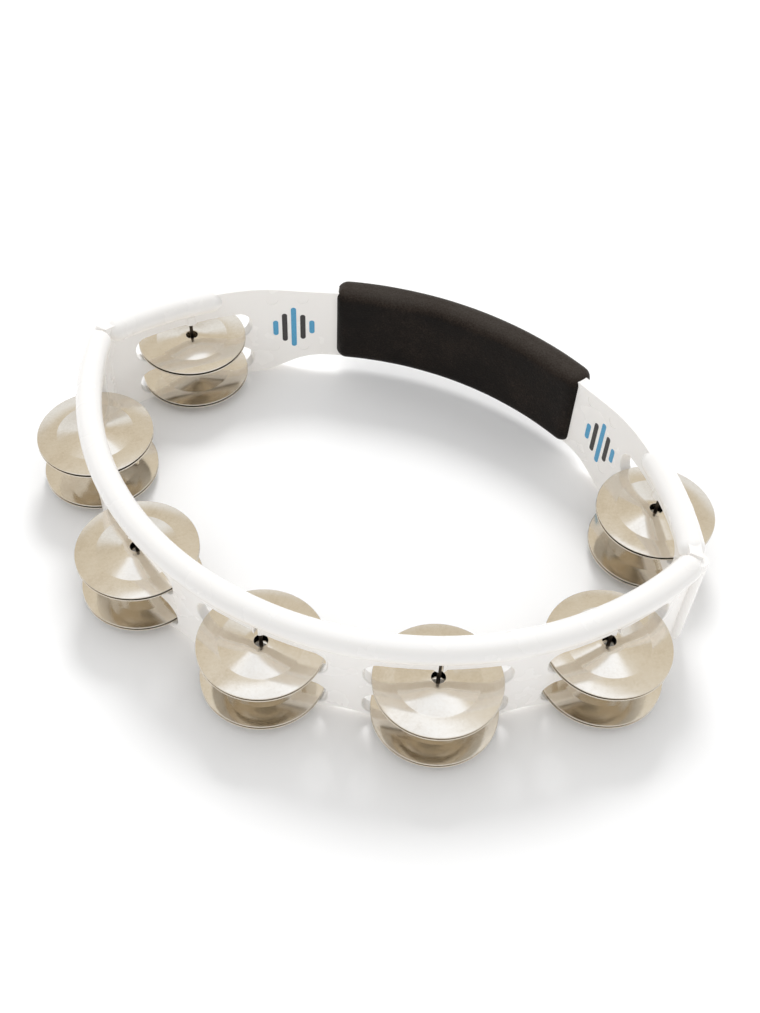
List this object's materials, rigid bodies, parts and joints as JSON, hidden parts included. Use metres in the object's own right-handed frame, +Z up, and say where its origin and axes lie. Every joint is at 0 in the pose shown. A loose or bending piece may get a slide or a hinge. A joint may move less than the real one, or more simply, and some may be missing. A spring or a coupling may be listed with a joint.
{
  "type": "tambourine",
  "caption": "Hand-held headless tambourine with an eye-shaped plastic frame, a rubber-covered grip and loose paired metal jingles that slide on steel pins.",
  "frame": {"origin": "bottom centre of the whole object's box, on the plane that it rests on", "axes": "+Z up, +Y from the front wall towards the grip, +X to the right seen from the front; the frame is mirrored across X, and the grip sits 3 mm to the right of the middle"},
  "size_m": [0.2868, 0.2188, 0.052],
  "materials": {
    "white_plastic": "glossy moulded white plastic",
    "grip_rubber": "matte black-brown rubber with a fine grain",
    "pin_steel": "plain steel wire, slightly dark",
    "jingle_nickel": "polished nickel-plated pressed steel"
  },
  "bodies": {
    "frame": {"frame": "white_plastic", "grip": "grip_rubber", "pin_1": "pin_steel", "pin_2": "pin_steel", "pin_3": "pin_steel", "pin_4": "pin_steel", "pin_5": "pin_steel", "pin_6": "pin_steel", "pin_7": "pin_steel"},
    "jingle_1_lower_bottom": {"jingle_1_lower_bottom": "jingle_nickel"},
    "jingle_1_lower_top": {"jingle_1_lower_top": "jingle_nickel"},
    "jingle_1_upper_bottom": {"jingle_1_upper_bottom": "jingle_nickel"},
    "jingle_1_upper_top": {"jingle_1_upper_top": "jingle_nickel"},
    "jingle_2_lower_bottom": {"jingle_2_lower_bottom": "jingle_nickel"},
    "jingle_2_lower_top": {"jingle_2_lower_top": "jingle_nickel"},
    "jingle_2_upper_bottom": {"jingle_2_upper_bottom": "jingle_nickel"},
    "jingle_2_upper_top": {"jingle_2_upper_top": "jingle_nickel"},
    "jingle_3_lower_bottom": {"jingle_3_lower_bottom": "jingle_nickel"},
    "jingle_3_lower_top": {"jingle_3_lower_top": "jingle_nickel"},
    "jingle_3_upper_bottom": {"jingle_3_upper_bottom": "jingle_nickel"},
    "jingle_3_upper_top": {"jingle_3_upper_top": "jingle_nickel"},
    "jingle_4_lower_bottom": {"jingle_4_lower_bottom": "jingle_nickel"},
    "jingle_4_lower_top": {"jingle_4_lower_top": "jingle_nickel"},
    "jingle_4_upper_bottom": {"jingle_4_upper_bottom": "jingle_nickel"},
    "jingle_4_upper_top": {"jingle_4_upper_top": "jingle_nickel"},
    "jingle_5_lower_bottom": {"jingle_5_lower_bottom": "jingle_nickel"},
    "jingle_5_lower_top": {"jingle_5_lower_top": "jingle_nickel"},
    "jingle_5_upper_bottom": {"jingle_5_upper_bottom": "jingle_nickel"},
    "jingle_5_upper_top": {"jingle_5_upper_top": "jingle_nickel"},
    "jingle_6_lower_bottom": {"jingle_6_lower_bottom": "jingle_nickel"},
    "jingle_6_lower_top": {"jingle_6_lower_top": "jingle_nickel"},
    "jingle_6_upper_bottom": {"jingle_6_upper_bottom": "jingle_nickel"},
    "jingle_6_upper_top": {"jingle_6_upper_top": "jingle_nickel"},
    "jingle_7_lower_bottom": {"jingle_7_lower_bottom": "jingle_nickel"},
    "jingle_7_lower_top": {"jingle_7_lower_top": "jingle_nickel"},
    "jingle_7_upper_bottom": {"jingle_7_upper_bottom": "jingle_nickel"},
    "jingle_7_upper_top": {"jingle_7_upper_top": "jingle_nickel"}
  },
  "joints": [
    {"name": "jingle_1_lower_bottom_slide", "type": "slide", "parent": "frame", "child": "jingle_1_lower_bottom", "axis": [0, 0, 1], "range_m": [0, 0.00385]},
    {"name": "jingle_1_lower_top_slide", "type": "slide", "parent": "jingle_1_lower_bottom", "child": "jingle_1_lower_top", "axis": [0, 0, 1], "range_m": [0, 0.00385]},
    {"name": "jingle_1_upper_bottom_slide", "type": "slide", "parent": "frame", "child": "jingle_1_upper_bottom", "axis": [0, 0, 1], "range_m": [0, 0.00385]},
    {"name": "jingle_1_upper_top_slide", "type": "slide", "parent": "jingle_1_upper_bottom", "child": "jingle_1_upper_top", "axis": [0, 0, 1], "range_m": [0, 0.00385]},
    {"name": "jingle_2_lower_bottom_slide", "type": "slide", "parent": "frame", "child": "jingle_2_lower_bottom", "axis": [0, 0, 1], "range_m": [0, 0.00385]},
    {"name": "jingle_2_lower_top_slide", "type": "slide", "parent": "jingle_2_lower_bottom", "child": "jingle_2_lower_top", "axis": [0, 0, 1], "range_m": [0, 0.00385]},
    {"name": "jingle_2_upper_bottom_slide", "type": "slide", "parent": "frame", "child": "jingle_2_upper_bottom", "axis": [0, 0, 1], "range_m": [0, 0.00385]},
    {"name": "jingle_2_upper_top_slide", "type": "slide", "parent": "jingle_2_upper_bottom", "child": "jingle_2_upper_top", "axis": [0, 0, 1], "range_m": [0, 0.00385]},
    {"name": "jingle_3_lower_bottom_slide", "type": "slide", "parent": "frame", "child": "jingle_3_lower_bottom", "axis": [0, 0, 1], "range_m": [0, 0.00385]},
    {"name": "jingle_3_lower_top_slide", "type": "slide", "parent": "jingle_3_lower_bottom", "child": "jingle_3_lower_top", "axis": [0, 0, 1], "range_m": [0, 0.00385]},
    {"name": "jingle_3_upper_bottom_slide", "type": "slide", "parent": "frame", "child": "jingle_3_upper_bottom", "axis": [0, 0, 1], "range_m": [0, 0.00385]},
    {"name": "jingle_3_upper_top_slide", "type": "slide", "parent": "jingle_3_upper_bottom", "child": "jingle_3_upper_top", "axis": [0, 0, 1], "range_m": [0, 0.00385]},
    {"name": "jingle_4_lower_bottom_slide", "type": "slide", "parent": "frame", "child": "jingle_4_lower_bottom", "axis": [0, 0, 1], "range_m": [0, 0.00385]},
    {"name": "jingle_4_lower_top_slide", "type": "slide", "parent": "jingle_4_lower_bottom", "child": "jingle_4_lower_top", "axis": [0, 0, 1], "range_m": [0, 0.00385]},
    {"name": "jingle_4_upper_bottom_slide", "type": "slide", "parent": "frame", "child": "jingle_4_upper_bottom", "axis": [0, 0, 1], "range_m": [0, 0.00385]},
    {"name": "jingle_4_upper_top_slide", "type": "slide", "parent": "jingle_4_upper_bottom", "child": "jingle_4_upper_top", "axis": [0, 0, 1], "range_m": [0, 0.00385]},
    {"name": "jingle_5_lower_bottom_slide", "type": "slide", "parent": "frame", "child": "jingle_5_lower_bottom", "axis": [0, 0, 1], "range_m": [0, 0.00385]},
    {"name": "jingle_5_lower_top_slide", "type": "slide", "parent": "jingle_5_lower_bottom", "child": "jingle_5_lower_top", "axis": [0, 0, 1], "range_m": [0, 0.00385]},
    {"name": "jingle_5_upper_bottom_slide", "type": "slide", "parent": "frame", "child": "jingle_5_upper_bottom", "axis": [0, 0, 1], "range_m": [0, 0.00385]},
    {"name": "jingle_5_upper_top_slide", "type": "slide", "parent": "jingle_5_upper_bottom", "child": "jingle_5_upper_top", "axis": [0, 0, 1], "range_m": [0, 0.00385]},
    {"name": "jingle_6_lower_bottom_slide", "type": "slide", "parent": "frame", "child": "jingle_6_lower_bottom", "axis": [0, 0, 1], "range_m": [0, 0.00385]},
    {"name": "jingle_6_lower_top_slide", "type": "slide", "parent": "jingle_6_lower_bottom", "child": "jingle_6_lower_top", "axis": [0, 0, 1], "range_m": [0, 0.00385]},
    {"name": "jingle_6_upper_bottom_slide", "type": "slide", "parent": "frame", "child": "jingle_6_upper_bottom", "axis": [0, 0, 1], "range_m": [0, 0.00385]},
    {"name": "jingle_6_upper_top_slide", "type": "slide", "parent": "jingle_6_upper_bottom", "child": "jingle_6_upper_top", "axis": [0, 0, 1], "range_m": [0, 0.00385]},
    {"name": "jingle_7_lower_bottom_slide", "type": "slide", "parent": "frame", "child": "jingle_7_lower_bottom", "axis": [0, 0, 1], "range_m": [0, 0.00385]},
    {"name": "jingle_7_lower_top_slide", "type": "slide", "parent": "jingle_7_lower_bottom", "child": "jingle_7_lower_top", "axis": [0, 0, 1], "range_m": [0, 0.00385]},
    {"name": "jingle_7_upper_bottom_slide", "type": "slide", "parent": "frame", "child": "jingle_7_upper_bottom", "axis": [0, 0, 1], "range_m": [0, 0.00385]},
    {"name": "jingle_7_upper_top_slide", "type": "slide", "parent": "jingle_7_upper_bottom", "child": "jingle_7_upper_top", "axis": [0, 0, 1], "range_m": [0, 0.00385]}
  ]
}
